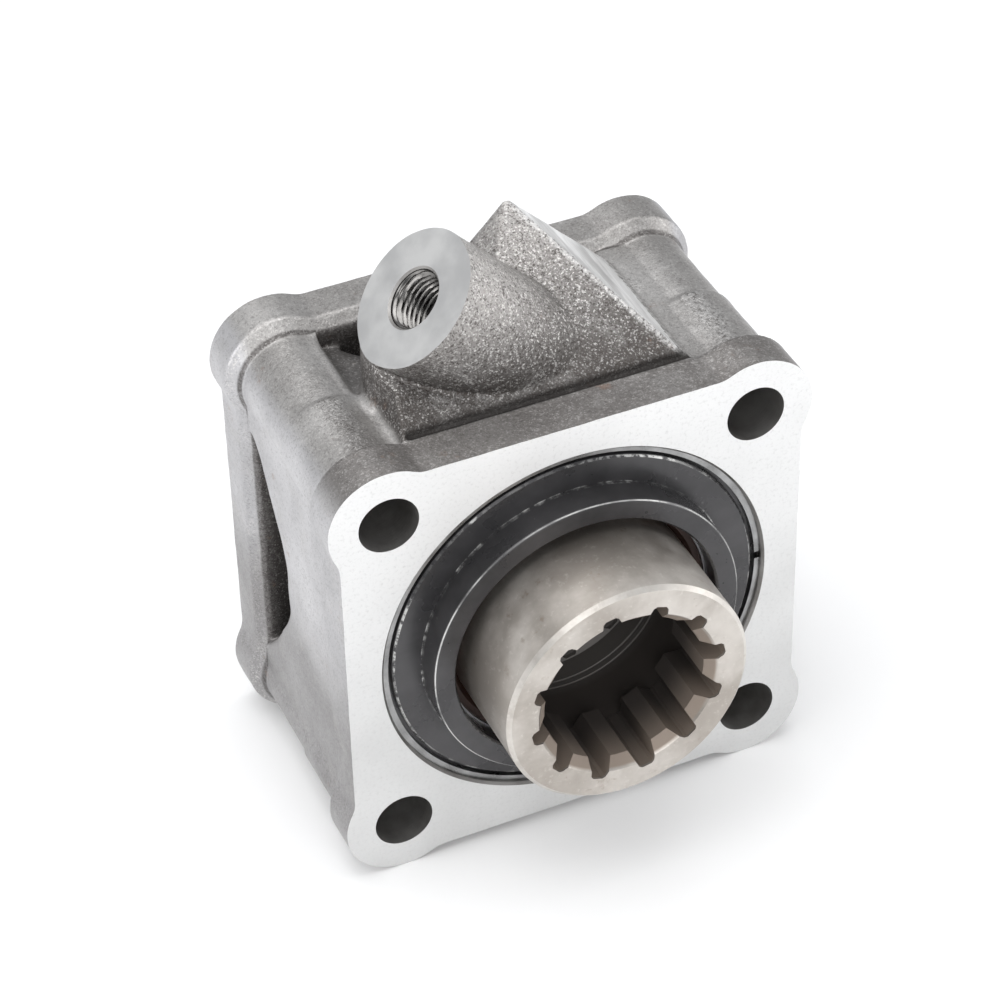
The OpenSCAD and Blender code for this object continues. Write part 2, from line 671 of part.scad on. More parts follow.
// Bush between the input shaft's nose and the hub
module pilot_bush() color([0.66, 0.5, 0.28])
    tube(nose_d / 2 + 2 * fit, nose_d / 2 + bush_wall, clutch_y - nose_l, hub_rear_y);

// Sleeve that slides back over the input shaft's teeth
module shift_sleeve() color([0.5, 0.5, 0.52]) {
    difference() {
        turned([[0, sleeve_y], [sleeve_r - edge, sleeve_y], [sleeve_r, sleeve_y + edge],
            [sleeve_r, sleeve_y + sleeve_l - edge], [sleeve_r - edge, sleeve_y + sleeve_l],
            [0, sleeve_y + sleeve_l]]);
        along_y(sleeve_y - over, sleeve_y + sleeve_l + over) clutch_outline(slack);
        tube(sleeve_r - shoe_groove_t, sleeve_r + over,
            shoe_y - shoe_groove_w / 2, shoe_y + shoe_groove_w / 2);
    }
}

// Shoe in the sleeve's groove, with the pin that follows the plunger's slanted slot
module shift_shoe() color([0.6, 0.58, 0.55]) {
    pad_w = shoe_groove_w - 2 * slack;
    pin_to = port_axis_d + pin_reach;
    union() {
        intersection() {
            tube(sleeve_r - shoe_groove_t + slack, cavity_r - slack,
                shoe_y - pad_w / 2, shoe_y + pad_w / 2);
            rotate([0, -port_angle, 0]) translate([sleeve_r / 2, 0, -shoe_span / 2])
                cube([sleeve_r, housing_depth, shoe_span]);
        }
        rotate([0, -port_angle, 0]) translate([sleeve_r - over, shoe_y, 0]) rotate([0, 90, 0])
            cylinder(d = shoe_pin_d, h = pin_to - sleeve_r + over);
    }
}

// Plunger pushed by the air; its slanted slot carries the shoe's pin
module shift_plunger() color([0.6, 0.6, 0.62]) at_port() {
    o_ring_z = plunger_l - plunger_foot - plunger_o_at;
    slot_w = shoe_pin_d + 2 * slack;
    difference() {
        translate([0, 0, -plunger_foot]) cylinder(r = plunger_r, h = plunger_l);
        translate([0, 0, o_ring_z - plunger_o_t / 2 - groove_slack]) difference() {
            cylinder(r = plunger_r + over, h = plunger_o_t + 2 * groove_slack);
            translate([0, 0, -over])
                cylinder(r = plunger_r - plunger_o_t + groove_slack / 2, h = plunger_o_t + 2 * over);
        }
        // The pin starts at the front of its travel and ends at the rear of it
        hull() for (end = [0, 1]) translate([-plunger_r - over, -shift_travel / 2 + end * shift_travel,
            end * shift_travel]) rotate([0, 90, 0])
            cylinder(d = slot_w, h = plunger_r + 2 * over, $fn = 24);
    }
}

module plunger_o_ring() color([0.07, 0.07, 0.07]) at_port()
    translate([0, 0, plunger_l - plunger_foot - plunger_o_at]) rotate_extrude()
        translate([plunger_r - plunger_o_t / 2 + fit, 0]) circle(d = plunger_o_t - 2 * fit, $fn = 24);

// Return spring: a closed tube swept along a helix, with points worked out by a rule
function spring_point(i, j) = let (
    a = 360 * i / spring_turn_steps,
    b = 360 * j / spring_sides,
    r = spring_r + spring_wire / 2 * cos(b),
    z = spring_from + (spring_to - spring_from) * i / spring_steps + spring_wire / 2 * sin(b)
) [r * cos(a), r * sin(a), z];

module plunger_spring() color([0.55, 0.55, 0.56]) at_port() polyhedron(
    points = [for (i = [0:spring_steps], j = [0:spring_sides - 1]) spring_point(i, j)],
    faces = concat(
        [[for (j = [0:spring_sides - 1]) j]],
        [[for (j = [spring_sides - 1:-1:0]) spring_steps * spring_sides + j]],
        [for (i = [0:spring_steps - 1], j = [0:spring_sides - 1])
            [i * spring_sides + j, (i + 1) * spring_sides + j,
                (i + 1) * spring_sides + (j + 1) % spring_sides,
                i * spring_sides + (j + 1) % spring_sides]]));

// Input shaft: nose, clutch teeth, bearing seat and the socket for the gearbox's shaft
module input_shaft() color([0.56, 0.55, 0.53]) {
    seat_r = rear_brg_bore_d / 2;
    end_y = housing_depth - 2 * groove_slack;
    socket_y = end_y - input_socket_l;
    flange_y = rear_brg_y - clip_t;
    difference() {
        union() {
            disc(nose_d / 2, clutch_y - nose_l + edge, clutch_y + over);
            along_y(clutch_y, flange_y + edge) clutch_outline();
            disc(clutch_tip_d / 2 + over, flange_y, rear_brg_y);
            disc(seat_r, rear_brg_y - over, end_y);
        }
        along_y(socket_y, end_y + over)
            spline_hole(input_n, input_tip_d / 2, input_root_d / 2,
                input_groove_w, input_groove_w - 2 * edge);
        tube(seat_r - clip_groove, seat_r + over, rear_brg_rear_y + fit,
            rear_brg_rear_y + clip_t + groove_slack);
    }
}

module input_circlip() color([0.3, 0.3, 0.3]) {
    floor_r = rear_brg_bore_d / 2 - clip_groove;
    split_ring(floor_r + fit, floor_r + clip_h, rear_brg_rear_y + groove_slack / 2,
        rear_brg_rear_y + clip_t + groove_slack / 2, 90 - clip_gap / 2, 90 + clip_gap / 2);
}

module rear_snap_ring() color([0.3, 0.3, 0.3]) {
    floor_r = rear_brg_d / 2 + clip_groove;
    split_ring(floor_r - clip_h, floor_r - groove_slack / 2, rear_brg_rear_y + groove_slack / 2,
        rear_brg_rear_y + clip_t + groove_slack / 2, 90 - clip_gap / 2, 90 + clip_gap / 2);
}

housing();
pilot_ring();
pilot_o_ring();
snap_ring();
oil_seal_case();
oil_seal_lip();
seal_garter_spring();
output_hub();
front_bearing_outer_race();
front_bearing_inner_race();
front_bearing_balls();
front_bearing_cage();
hub_circlip();
pilot_bush();
shift_sleeve();
shift_shoe();
shift_plunger();
plunger_o_ring();
plunger_spring();
input_shaft();
rear_bearing_outer_race();
rear_bearing_inner_race();
rear_bearing_balls();
rear_bearing_cage();
input_circlip();
rear_snap_ring();
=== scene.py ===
import json
import math

import bmesh
import bpy
from mathutils import Matrix, Vector


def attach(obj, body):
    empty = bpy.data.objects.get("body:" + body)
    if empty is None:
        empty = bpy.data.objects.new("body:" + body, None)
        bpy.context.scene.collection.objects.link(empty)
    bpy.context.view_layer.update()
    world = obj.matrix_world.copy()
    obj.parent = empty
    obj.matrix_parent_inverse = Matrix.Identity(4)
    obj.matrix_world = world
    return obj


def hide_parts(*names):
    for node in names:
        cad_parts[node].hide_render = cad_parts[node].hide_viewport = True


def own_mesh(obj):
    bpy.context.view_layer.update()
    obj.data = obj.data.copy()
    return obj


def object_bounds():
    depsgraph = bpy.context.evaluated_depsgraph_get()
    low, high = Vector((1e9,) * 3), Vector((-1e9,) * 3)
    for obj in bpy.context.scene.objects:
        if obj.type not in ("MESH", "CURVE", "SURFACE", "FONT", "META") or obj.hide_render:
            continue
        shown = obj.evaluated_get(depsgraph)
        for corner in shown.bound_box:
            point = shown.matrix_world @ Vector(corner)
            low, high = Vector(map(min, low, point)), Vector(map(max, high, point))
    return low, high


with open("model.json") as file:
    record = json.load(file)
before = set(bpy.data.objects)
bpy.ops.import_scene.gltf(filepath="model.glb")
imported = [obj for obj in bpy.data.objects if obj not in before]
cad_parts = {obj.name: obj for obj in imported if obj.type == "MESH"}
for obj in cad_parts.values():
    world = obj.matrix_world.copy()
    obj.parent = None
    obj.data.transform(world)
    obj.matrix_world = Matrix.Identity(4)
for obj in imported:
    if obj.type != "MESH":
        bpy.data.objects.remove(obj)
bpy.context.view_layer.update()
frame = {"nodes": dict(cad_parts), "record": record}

MM = 0.001
HOUSING = "housing_body"
HUB = "hub_body"

# Sizes of the machined features, in millimetres, as the solids have them
BORE_R = 40.0
BORE_DEPTH = 16.0
BORE_CHAMFER = 0.5
SNAP_GROOVE = (1.0, 2.4)
SNAP_GROOVE_DEPTH = 1.2
LAND_R = 34.66
LAND_END_Y = 19.1
CAVITY_R = 27.8
REAR_BORE_R = 31.0
REAR_BORE_Y = 44.0
REAR_GROOVE = (58.02, 59.3)
REAR_GROOVE_DEPTH = 1.0
DEPTH = 60.0
BOLT_PITCH = 75.0
BOLT_HOLE_R = 6.0
PORT_ANGLE = math.radians(45)
PORT_Y = 25.6
PORT_AXIS_D = 32.4
PORT_FACE_D = 61.4
THREAD_R = 6.0
THREAD_DEPTH = 16.6
PORT_CHAMFER = 0.4
THREAD_PITCH = 1.25
THREAD_HEIGHT = 0.72
PLUNGER_BORE_R = 4.5
PLUNGER_PAST = 19.0
# Guide slot of the shoe's pin, in the port's frame
GUIDE_DROP = 6.1
GUIDE_HALF_L = 4.4
GUIDE_HALF_W = 1.65
RIGHT_FACE_D = 53.5
BOSS_R = 14.0

# Foot of the boss, pocket behind it and crease at the wedge's foot, as the photograph shows them
FOOT_X = -16.5
TOP_POCKET_LOW = (-31.5, 27.0, 41.8)
TOP_POCKET_HIGH = (-12.0, 49.2, 70.0)
CREASE_LOW = (-29.5, 9.3, 47.0)
CREASE_HIGH = (28.2, 10.5, 50.0)
# Where the pockets' edges are rounded: range in y, least distance from the axis, half width
EASE_FROM = 21
EASE_TO = 49
EASE_DEPTH = 31
EASE_HALF = 34
EASE_PASSES = 220
TOP_LEVEL = 48.4

# Relief bore behind the hub's splines, with its turned rings
SPLINE_END_Y = -8.0
RELIEF_R = 20.5
RELIEF_END_Y = 12.0
RING_CUTS = (4.4, 6.0)

# How far cutters and fills reach past the faces they cross
OVER = 2.0
FAR = 20.0

# Resolution of the casting's skin, how far the machining stock stands out, and the skin's waves
WAVE_SIZE = 5.0
WAVE_HEIGHT = 0.22
VOXEL = 0.45
STOCK = 1.6
SMOOTH_PASSES = 2
KEEP_SHARE = 0.36


def mm(x, y, z):
    return Vector((x * MM, y * MM, z * MM))


def port_matrix():
    """From the port's own frame, whose Z runs out through the port, to the row frame."""
    turn = Matrix.Rotation(-PORT_ANGLE, 4, "Y")
    return turn @ Matrix.Translation(mm(PORT_AXIS_D, PORT_Y, 0))


def hub_matrix():
    """From a frame whose Z is the hub axis, into the housing, to the row frame."""
    return Matrix.Rotation(math.radians(-90), 4, "X")


def new_object(name, mesh):
    made = bpy.data.objects.new(name, mesh)
    bpy.context.scene.collection.objects.link(made)
    return made


def mesh_from(name, verts, faces):
    mesh = bpy.data.meshes.new(name)
    mesh.from_pydata(verts, [], faces)
    mesh.validate()
    mesh.update()
    return mesh


def lathe(name, profile, matrix, segments=160):
    """Closed solid of revolution about the matrix's Z axis, from a closed loop of (radius, z) in mm."""
    verts, faces = [], []
    count = len(profile)
    for i in range(segments):
        a = 2 * math.pi * i / segments
        for r, z in profile:
            verts.append(matrix @ mm(r * math.cos(a), r * math.sin(a), z))
    for i in range(segments):
        j = (i + 1) % segments
        for k in range(count):
            m = (k + 1) % count
            faces.append((i * count + k, j * count + k, j * count + m, i * count + m))
    return new_object(name, mesh_from(name, verts, faces))


def rod(name, radius, z0, z1, matrix, segments=64):
    """Closed cylinder along the matrix's Z axis, sizes in mm."""
    bm = bmesh.new()
    place = matrix @ Matrix.Translation(mm(0, 0, (z0 + z1) / 2))
    bmesh.ops.create_cone(bm, cap_ends=True, segments=segments, radius1=radius * MM,
                          radius2=radius * MM, depth=(z1 - z0) * MM, matrix=place)
    mesh = bpy.data.meshes.new(name)
    bm.to_mesh(mesh)
    bm.free()
    return new_object(name, mesh)


def block(name, low, high, matrix):
    """Box between two corners of the matrix's frame, sizes in mm."""
    bm = bmesh.new()
    middle = [(a + b) / 2 for a, b in zip(low, high)]
    size = Matrix.Diagonal([(b - a) * MM for a, b in zip(low, high)] + [1])
    bmesh.ops.create_cube(bm, size=1, matrix=matrix @ Matrix.Translation(mm(*middle)) @ size)
    mesh = bpy.data.meshes.new(name)
    bm.to_mesh(mesh)
    bm.free()
    return new_object(name, mesh)


def apply_modifiers(obj):
    graph = bpy.context.evaluated_depsgraph_get()
    mesh = bpy.data.meshes.new_from_object(obj.evaluated_get(graph))
    obj.modifiers.clear()
    old = obj.data
    obj.data = mesh
    bpy.data.meshes.remove(old)


def join(objects, name):
    bm = bmesh.new()
    for obj in objects:
        bm.from_mesh(obj.data)
        bpy.data.objects.remove(obj)
    mesh = bpy.data.meshes.new(name)
    bm.to_mesh(mesh)
    bm.free()
    return new_object(name, mesh)


def cut(obj, cutter):
    mod = obj.modifiers.new("cut", "BOOLEAN")
    mod.operation = "DIFFERENCE"
    mod.solver = "EXACT"
    mod.object = cutter
    apply_modifiers(obj)
    bpy.data.objects.remove(cutter)


def shade_smooth(obj, degrees):
    mesh = obj.data
    mesh.shade_smooth()
    bm = bmesh.new()
    bm.from_mesh(mesh)
    limit = math.radians(degrees)
    for edge in bm.edges:
        edge.smooth = len(edge.link_faces) == 2 and edge.calc_face_angle(0) < limit
    bm.to_mesh(mesh)
    bm.free()


# Materials

def clear_nodes(mat):
    mat.use_nodes = True
    tree = mat.node_tree
    tree.nodes.clear()
    return tree


class Shader:
    """Short way to write a node tree: each call adds a node and gives its first output."""

    def __init__(self, name):
        self.mat = bpy.data.materials.new(name)
        self.tree = clear_nodes(self.mat)
        self.out = self.tree.nodes.new("ShaderNodeOutputMaterial")
        self.bsdf = self.tree.nodes.new("ShaderNodeBsdfPrincipled")
        self.tree.links.new(self.bsdf.outputs[0], self.out.inputs[0])
        self.coord = self.tree.nodes.new("ShaderNodeTexCoord").outputs["Object"]

    def put(self, socket, value):
        if isinstance(value, bpy.types.NodeSocket):
            self.tree.links.new(value, socket)
        elif value is not None:
            if hasattr(value, "__len__") and len(value) == 3 and socket.type == "RGBA":
                value = (*value, 1)
            socket.default_value = value

    def noise(self, scale, detail=4.0, rough=0.55, vector=None, distortion=0.0):
        n = self.tree.nodes.new("ShaderNodeTexNoise")
        self.put(n.inputs["Vector"], vector or self.coord)
        n.inputs["Scale"].default_value = scale
        n.inputs["Detail"].default_value = detail
        n.inputs["Roughness"].default_value = rough
        n.inputs["Distortion"].default_value = distortion
        return n.outputs[0]

    def cells(self, scale, output="Distance"):
        n = self.tree.nodes.new("ShaderNodeTexVoronoi")
        self.put(n.inputs["Vector"], self.coord)
        n.inputs["Scale"].default_value = scale
        return n.outputs[output]

    def math(self, op, a, b=None):
        n = self.tree.nodes.new("ShaderNodeMath")
        n.operation = op
        for i, value in enumerate((a, b)):
            self.put(n.inputs[i], value)
        return n.outputs[0]

    def ramp(self, value, low, high, to_low=0.0, to_high=1.0):
        n = self.tree.nodes.new("ShaderNodeMapRange")
        n.interpolation_type = "SMOOTHSTEP"
        self.put(n.inputs["Value"], value)
        for key, number in zip(("From Min", "From Max", "To Min", "To Max"), (low, high, to_low, to_high)):
            n.inputs[key].default_value = number
        return n.outputs[0]

    def mix(self, share, a, b):
        n = self.tree.nodes.new("ShaderNodeMix")
        n.data_type = "RGBA"
        self.put(n.inputs[0], share)
        self.put(n.inputs[6], a)
        self.put(n.inputs[7], b)
        return n.outputs[2]

    def split(self, vector=None):
        n = self.tree.nodes.new("ShaderNodeSeparateXYZ")
        self.put(n.inputs[0], vector or self.coord)
        return n.outputs

    def stretch(self, scale, rotation=(0, 0, 0)):
        n = self.tree.nodes.new("ShaderNodeMapping")
        self.put(n.inputs["Vector"], self.coord)
        n.inputs["Scale"].default_value = scale
        n.inputs["Rotation"].default_value = rotation
        return n.outputs[0]

    def radius(self):
        """Distance from the hub axis, in metres."""
        x, _, z = self.split()
        squares = self.math("ADD", self.math("MULTIPLY", x, x), self.math("MULTIPLY", z, z))
        return self.math("SQRT", squares)

    def bump(self, height, strength, distance, normal=None):
        n = self.tree.nodes.new("ShaderNodeBump")
        self.put(n.inputs["Height"], height)
        n.inputs["Strength"].default_value = strength
        n.inputs["Distance"].default_value = distance * MM
        self.put(n.inputs["Normal"], normal)
        return n.outputs[0]

    def finish(self, color, rough, metallic=1.0, normal=None):
        self.put(self.bsdf.inputs["Base Color"], color)
        self.put(self.bsdf.inputs["Roughness"], rough)
        self.put(self.bsdf.inputs["Metallic"], metallic)
        if normal is not None:
            self.put(self.bsdf.inputs["Normal"], normal)
        return self.mat


def cast_iron():
    """Shot blasted grey iron, smoother on the walls, with painted light: glints on the wedge, shade towards
    its foot, in the pockets and in the creases, highlights on the crest and the rear lip, and side walls
    paler above than below.
    """
    s = Shader("cast_iron_skin")
    x, y, z = s.split()
    behind_strip = s.ramp(y, 0.0086, 0.0096)
    on_top = s.math("MULTIPLY", s.ramp(z, 0.0466, 0.0484), behind_strip)
    on_top = s.math("MULTIPLY", on_top, s.ramp(y, 0.0450, 0.0400))
    on_side = s.ramp(s.math("ABSOLUTE", x), 0.0440, 0.0465)
    patches = s.noise(34, 4, 0.6)
    coarse = s.noise(1100, 4, 0.65)
    fine = s.noise(2600, 3, 0.7)
    grit = s.math("MAXIMUM", s.ramp(on_top, 0, 1, 0.30, 1.0), s.ramp(patches, 0.52, 0.68, 0, 0.7))
    grit = s.math("MULTIPLY", grit, s.ramp(on_side, 0, 1, 1, 0.45))
    fleck = s.split(s.cells(3600, "Color"))[0]
    # Bright flecks: painted glints where the blasted grains catch the light, thinned towards the wedge's
    # foot below
    bright = s.math("MULTIPLY", s.ramp(fleck, 0.58, 0.96), s.ramp(coarse, 0.38, 0.60))
    bright = s.math("MULTIPLY", bright, grit)
    low = s.math("MULTIPLY", on_top, s.ramp(z, 0.0600, 0.0480))
    bright = s.math("MULTIPLY", bright, s.ramp(low, 0, 1, 1, 0.5))
    pit = s.math("MULTIPLY", s.ramp(fleck, 0.44, 0.08), s.ramp(coarse, 0.60, 0.42))
    pit = s.math("MULTIPLY", pit, s.ramp(grit, 0.1, 1.0, 0.35, 1.0))
    skin = s.mix(s.ramp(patches, 0.36, 0.66), (0.33, 0.318, 0.308), (0.50, 0.488, 0.478))
    strip = s.mix(s.ramp(patches, 0.36, 0.66), (0.20, 0.188, 0.180), (0.28, 0.268, 0.260))
    # Painted light on the side walls: lit paler above, shaded darker below
    upper = s.mix(s.ramp(patches, 0.36, 0.66), (0.40, 0.395, 0.405), (0.54, 0.534, 0.545))
    lower = s.mix(s.ramp(patches, 0.36, 0.66), (0.26, 0.252, 0.252), (0.36, 0.352, 0.354))
    wall = s.mix(s.ramp(z, -0.016, 0.010), lower, upper)
    # Painted shade on the wedge's slope: dark at its foot, paler towards its top
    slope_painted_shading = s.mix(s.ramp(z, 0.0480, 0.0720), (0.085, 0.077, 0.072), (0.44, 0.42, 0.405))
    in_front = s.math("MULTIPLY", s.ramp(z, 0.0415, 0.0472), s.ramp(y, 0.0096, 0.0086))
    color = s.mix(on_side, skin, wall)
    color = s.mix(in_front, color, strip)
    color = s.mix(on_top, color, slope_painted_shading)
    clouds = s.noise(110, 5, 0.7, distortion=0.5)
    color = s.mix(s.ramp(clouds, 0.48, 0.72, 0, 0.4), color, (0.42, 0.41, 0.40))
    # Painted shade in the pockets, where the skin lies deeper than the walls
    reach = s.math("MAXIMUM", s.math("ABSOLUTE", x), s.math("ABSOLUTE", z))
    color = s.mix(s.ramp(reach, 0.0437, 0.0422, 0, 0.72), color, (0.055, 0.050, 0.047))
    # Painted shade: broken dark line in the crease in front of the rear flange's lip
    neck = s.math("MULTIPLY", s.ramp(y, 0.0487, 0.0491), s.ramp(y, 0.0501, 0.0496))
    neck = s.math("MULTIPLY", neck, s.ramp(coarse, 0.35, 0.6, 0.55, 0.9))
    color = s.mix(neck, color, (0.070, 0.063, 0.060))
    # Painted highlight: broken bright band along the rear flange's lip
    lip = s.math("MULTIPLY", s.ramp(y, 0.0500, 0.0506), s.ramp(y, 0.0522, 0.0516))
    lip = s.math("MULTIPLY", lip, s.ramp(patches, 0.46, 0.60, 0.1, 0.75))
    color = s.mix(s.math("MULTIPLY", lip, s.ramp(fleck, 0.66, 0.95)), color, (0.66, 0.64, 0.62))
    # Crease at the wedge's foot, where a painted shade line is laid on further down
    crease = s.math("MULTIPLY", s.ramp(y, 0.0090, 0.0095), s.ramp(y, 0.0120, 0.0100))
    crease = s.math("MULTIPLY", crease, s.ramp(s.math("ABSOLUTE", x), 0.0300, 0.0292))
    crease = s.math("MULTIPLY", crease, s.ramp(z, 0.0464, 0.0467))
    # Painted highlight: broken pale line along the crest between the wedge's slope and its right face
    crest = s.math("MULTIPLY", s.math("ADD", x, z), math.sqrt(0.5))
    edge = RIGHT_FACE_D * MM
    crest = s.math("MULTIPLY", s.ramp(crest, edge - 0.0012, edge - 0.0004), on_top)
    crest = s.math("MULTIPLY", crest, s.ramp(coarse, 0.35, 0.6, 0.3, 0.8))
    color = s.mix(crest, color, (0.72, 0.71, 0.70))
    rust = s.ramp(s.noise(150, 6, 0.7), 0.62, 0.72, 0, 0.5)
    color = s.mix(rust, color, (0.25, 0.155, 0.11))
    color = s.mix(s.math("MULTIPLY", pit, 0.8), color, (0.06, 0.05, 0.045))
    # Painted glints: the bright flecks laid on
    color = s.mix(s.math("MULTIPLY", bright, 0.9), color, (0.80, 0.78, 0.76))
    # Painted shade: dark line in the crease at the wedge's foot
    crease = s.math("MULTIPLY", crease, s.ramp(coarse, 0.30, 0.50, 0.75, 0.95))
    color = s.mix(crease, color, (0.032, 0.028, 0.026))
    rough = s.ramp(grit, 0.1, 1.0, 0.44, 0.36)
    rough = s.math("MAXIMUM", rough, s.math("MULTIPLY", crease, 0.75))
    height = s.math("ADD", s.math("MULTIPLY", fine, 0.7), coarse)
    height = s.math("MULTIPLY", height, grit)
    first = s.bump(patches, 0.3, 0.8)
    return s.finish(color, rough, 0.7, s.bump(height, 0.9, 0.30, first))


def machined_face():
    """Milled face: pale, nearly matt, with faint speckle, a few small dark nicks, and painted light: darker
    towards the bottom, paler towards the top.
    """
    s = Shader("machined_face")
    speck = s.noise(1300, 3, 0.65)
    cloud = s.noise(45, 3, 0.5)
    nick = s.ramp(s.cells(210), 0.03, 0.09, 1, 0)
    keep = s.ramp(s.noise(30, 3, 0.6), 0.60, 0.68)
    color = s.mix(s.ramp(cloud, 0.3, 0.7), (0.72, 0.72, 0.715), (0.80, 0.80, 0.795))
    # Painted light: the face is shaded darker towards the bottom and lit paler towards the top
    height = s.split()[2]
    low = s.mix(0.16, color, (0.1, 0.1, 0.1))
    high = s.mix(0.5, color, (0.9, 0.9, 0.9))
    color = s.mix(s.ramp(height, -0.030, 0.046), low, high)
    color = s.mix(s.ramp(speck, 0.5, 0.75, 0, 0.4), color, (0.56, 0.555, 0.55))
    color = s.mix(s.math("MULTIPLY", s.math("MULTIPLY", nick, keep), 0.8), color, (0.16, 0.15, 0.14))
    return s.finish(color, s.ramp(speck, 0.3, 0.7, 0.42, 0.56), 0.55, s.bump(speck, 0.2, 0.03))


def port_face():
    """Spot faced end of the boss: even mid grey with a faint fine bump."""
    s = Shader("port_face")
    cloud = s.noise(120, 4, 0.55)
    color = s.mix(s.ramp(cloud, 0.3, 0.7), (0.45, 0.45, 0.45), (0.56, 0.56, 0.555))
    return s.finish(color, s.ramp(cloud, 0.3, 0.7, 0.44, 0.52), 0.55, s.bump(s.noise(1400, 2), 0.15, 0.02))


def right_face():
    """Smooth upper right face of the wedge, with pale streaks."""
    s = Shader("streaked_face")
    streak = s.noise(60, 5, 0.65, s.stretch((3.0, 0.6, 3.0), (0, 0, 0.2)))
    fine = s.noise(700, 4, 0.6)
    color = s.mix(s.ramp(streak, 0.35, 0.65), (0.55, 0.545, 0.54), (0.92, 0.915, 0.91))
    return s.finish(color, s.ramp(fine, 0.3, 0.7, 0.34, 0.48), 0.7, s.bump(fine, 0.25, 0.06))


def bored_iron():
    """Turned and drilled walls: grey with fine rings."""
    s = Shader("bored_iron")
    _, y, _ = s.split()
    rings = s.math("SINE", s.math("MULTIPLY", y, 9000))
    cloud = s.noise(90, 4, 0.6)
    color = s.mix(s.ramp(cloud, 0.3, 0.7), (0.20, 0.19, 0.18), (0.36, 0.35, 0.34))
    return s.finish(color, 0.42, 0.75, s.bump(rings, 0.15, 0.02))


def thread_steel():
    s = Shader("cut_thread")
    cloud = s.noise(300, 3)
    color = s.mix(s.ramp(cloud, 0.3, 0.7), (0.12, 0.117, 0.113), (0.30, 0.29, 0.28))
    return s.finish(color, 0.24, 1.0)


def hub_steel():
    """Turned hub: warm grey with brown stains; its socket has painted light at the mouth and painted shade,
    dark brown, further inside.
    """
    s = Shader("hub_steel")
    _, y, _ = s.split()
    r = s.radius()
    stain = s.noise(55, 5, 0.6)
    spots = s.noise(260, 5, 0.65)
    color = s.mix(s.ramp(stain, 0.35, 0.7), (0.38, 0.345, 0.31), (0.62, 0.585, 0.545))
    color = s.mix(s.ramp(spots, 0.60, 0.72, 0, 0.55), color, (0.27, 0.21, 0.16))
    color = s.mix(s.ramp(s.noise(700, 4, 0.7), 0.55, 0.75, 0, 0.35), color, (0.78, 0.75, 0.71))
    inside = s.math("MULTIPLY", s.ramp(r, 0.02115, 0.02095), s.ramp(y, -0.02295, -0.0224))
    # Painted light and shade in the socket: lit brown at the mouth, dark further in, a little paler at the
    # bottom
    wall = s.mix(s.ramp(y, -0.0215, -0.0105), (0.27, 0.222, 0.185), (0.085, 0.074, 0.068))
    wall = s.mix(s.ramp(y, 0.0020, 0.0060), wall, (0.15, 0.14, 0.132))
    color = s.mix(inside, color, wall)
    # Painted highlight: broken bright line on the chamfer round the hub's front end
    rim = s.math("MULTIPLY", s.ramp(r, 0.02412, 0.02420), s.ramp(y, -0.02205, -0.02215))
    rim = s.math("MULTIPLY", rim, s.ramp(spots, 0.35, 0.6, 0.4, 1.0))
    color = s.mix(s.math("MULTIPLY", rim, 0.35), color, (0.82, 0.80, 0.76))
    s.put(s.bsdf.inputs["Metallic"], s.ramp(inside, 0, 1, 0.85, 0.45))
    rings = s.math("SINE", s.math("MULTIPLY", y, 16000))
    rough = s.math("MAXIMUM", s.ramp(stain, 0.3, 0.7, 0.30, 0.42), s.math("MULTIPLY", inside, 0.55))
    first = s.bump(spots, 0.12, 0.05)
    return s.finish(color, rough, None, s.bump(rings, 0.05, 0.01, first))


def glints(s, r, middle, width, y_from, y_to, grain, low, high):
    """Broken bright line along one turned edge of the ring."""
    line = s.ramp(s.math("ABSOLUTE", s.math("SUBTRACT", r, middle)), width, width * 2, 1, 0)
    y = s.split()[1]
    band = s.math("MULTIPLY", s.ramp(y, y_from - 0.0001, y_from), s.ramp(y, y_to + 0.0001, y_to))
    dots = s.ramp(s.noise(grain, 4, 0.7), low, high)
    runs = s.ramp(s.noise(75, 3, 0.6), 0.42, 0.60, 0.12, 1.0)
    return s.math("MULTIPLY", s.math("MULTIPLY", s.math("MULTIPLY", line, band), dots), runs)


def black_ring():
    """Blackened pilot ring: glossy charcoal, with broken glints along its turned edges."""
    s = Shader("blackened_ring")
    r = s.radius()
    cloud = s.noise(70, 4, 0.6)
    speck = s.ramp(s.noise(800, 3, 0.6), 0.70, 0.76)
    color = s.mix(s.ramp(cloud, 0.3, 0.7), (0.050, 0.049, 0.051), (0.082, 0.080, 0.083))
    top = glints(s, r, 0.0318, 0.00006, -0.0060, -0.0049, 420, 0.20, 0.55)
    base = glints(s, r, 0.03212, 0.00008, 0.0002, 0.0012, 600, 0.42, 0.66)
    outer = glints(s, r, 0.0377, 0.00013, 0.0002, 0.0012, 620, 0.42, 0.58)
    inner = glints(s, r, 0.0278, 0.00006, -0.0060, -0.0049, 900, 0.44, 0.66)
    lines = s.math("MAXIMUM", outer, s.math("MULTIPLY", inner, 0.5))
    lines = s.math("MAXIMUM", s.math("MAXIMUM", top, base), lines)
    color = s.mix(s.math("MULTIPLY", speck, 0.3), color, (0.30, 0.30, 0.30))
    color = s.mix(s.math("MULTIPLY", lines, 0.85), color, (0.72, 0.72, 0.70))
    return s.finish(color, s.ramp(cloud, 0.3, 0.7, 0.24, 0.34), 0.55, s.bump(s.noise(1600, 2), 0.08, 0.02))


def plain_steel(name, dark, light, rough):
    s = Shader(name)
    cloud = s.noise(160, 4, 0.6)
    color = s.mix(s.ramp(cloud, 0.3, 0.7), dark, light)
    return s.finish(color, s.ramp(cloud, 0.3, 0.7, rough, rough + 0.1), 1.0,
                    s.bump(s.noise(1500, 2), 0.06, 0.02))


def rubber(name, dark, light):
    s = Shader(name)
    cloud = s.noise(260, 4, 0.6)
    color = s.mix(s.ramp(cloud, 0.3, 0.7), dark, light)
    return s.finish(color, 0.55, 0.0, s.bump(s.noise(1800, 3), 0.15, 0.03))


